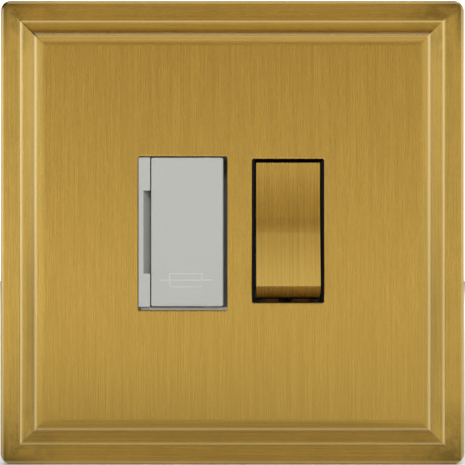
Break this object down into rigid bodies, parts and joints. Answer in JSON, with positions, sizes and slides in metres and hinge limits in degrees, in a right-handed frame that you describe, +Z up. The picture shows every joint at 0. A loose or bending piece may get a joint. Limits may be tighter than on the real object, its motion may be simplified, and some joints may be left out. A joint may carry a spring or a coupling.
{
  "type": "fused spur unit",
  "caption": "Switched fused connection unit: square stepped brass plate with a hinged grey fuse carrier and a brass rocker in a black surround",
  "frame": {"origin": "midway between the two box fixing screws, in the wall plane", "axes": "+X to the right, +Z up, +Y into the wall; the plate faces -Y"},
  "size_m": [0.092, 0.0352, 0.092],
  "materials": {
    "satin_brass": "satin brushed brass with an upright grain",
    "grey_moulding": "light grey urea moulding, fine matt",
    "white_moulding": "white urea moulding, plain",
    "black_moulding": "black nylon, matt",
    "zinc_steel": "bright zinc plated steel",
    "bright_steel": "nickel plated steel, polished",
    "nylon_white": "natural nylon",
    "copper_strip": "rolled copper strip, dull",
    "silver_tip": "silver contact metal",
    "terminal_brass": "machined brass",
    "fuse_ceramic": "glazed white ceramic",
    "fuse_cap_metal": "nickel plated brass"
  },
  "bodies": {
    "root": {"front_plate": "satin_brass", "front_moulding": "grey_moulding", "rear_base": "white_moulding", "plate_liner": "black_moulding", "rocker_bezel": "black_moulding", "mounting_yoke": "zinc_steel", "assembly_screws": "zinc_steel", "terminal_screws": "zinc_steel", "fixing_screws": "bright_steel", "rocker_pivot_pin": "bright_steel", "fixed_contact_line": "copper_strip", "fixed_contact_neutral": "copper_strip", "fulcrum_line": "copper_strip", "fulcrum_neutral": "copper_strip", "fuse_clip_top": "copper_strip", "fuse_clip_bottom": "copper_strip", "earth_spring": "copper_strip", "fixed_tip_line": "silver_tip", "fixed_tip_neutral": "silver_tip", "terminal_earth_out": "terminal_brass", "terminal_earth_in": "terminal_brass", "terminal_neutral_out": "terminal_brass", "terminal_line_out": "terminal_brass", "terminal_line_in": "terminal_brass", "terminal_neutral_in": "terminal_brass", "earth_strap": "terminal_brass"},
    "rocker": {"rocker_cap": "satin_brass", "rocker_body": "black_moulding", "plunger_line": "nylon_white", "plunger_neutral": "nylon_white", "plunger_spring_line": "bright_steel", "plunger_spring_neutral": "bright_steel"},
    "contact_line": {"moving_contact_line": "copper_strip", "moving_tip_line": "silver_tip"},
    "contact_neutral": {"moving_contact_neutral": "copper_strip", "moving_tip_neutral": "silver_tip"},
    "carrier": {"fuse_carrier": "grey_moulding", "fuse_tube": "fuse_ceramic", "fuse_cap_top": "fuse_cap_metal", "fuse_cap_bottom": "fuse_cap_metal"}
  },
  "joints": [
    {"name": "rocker_hinge", "type": "hinge", "parent": "root", "child": "rocker", "pos_m": [0.01092, -0.00121, 0.0003], "axis": [1, 0, 0], "range_deg": [0, 18]},
    {"name": "contact_line_hinge", "type": "hinge", "parent": "root", "child": "contact_line", "pos_m": [0.00772, 0.01109, 0.0003], "axis": [1, 0, 0], "range_deg": [-18, 0]},
    {"name": "contact_neutral_hinge", "type": "hinge", "parent": "root", "child": "contact_neutral", "pos_m": [0.01412, 0.01109, 0.0003], "axis": [1, 0, 0], "range_deg": [-18, 0]},
    {"name": "carrier_hinge", "type": "hinge", "parent": "root", "child": "carrier", "pos_m": [-0.00475, -0.0052, 0.00005], "axis": [0, 0, 1], "range_deg": [0, 80]}
  ],
  "couplings": [
    {"joint": "contact_line_hinge", "follows": "rocker_hinge", "ratio": -1},
    {"joint": "contact_neutral_hinge", "follows": "rocker_hinge", "ratio": -1}
  ]
}
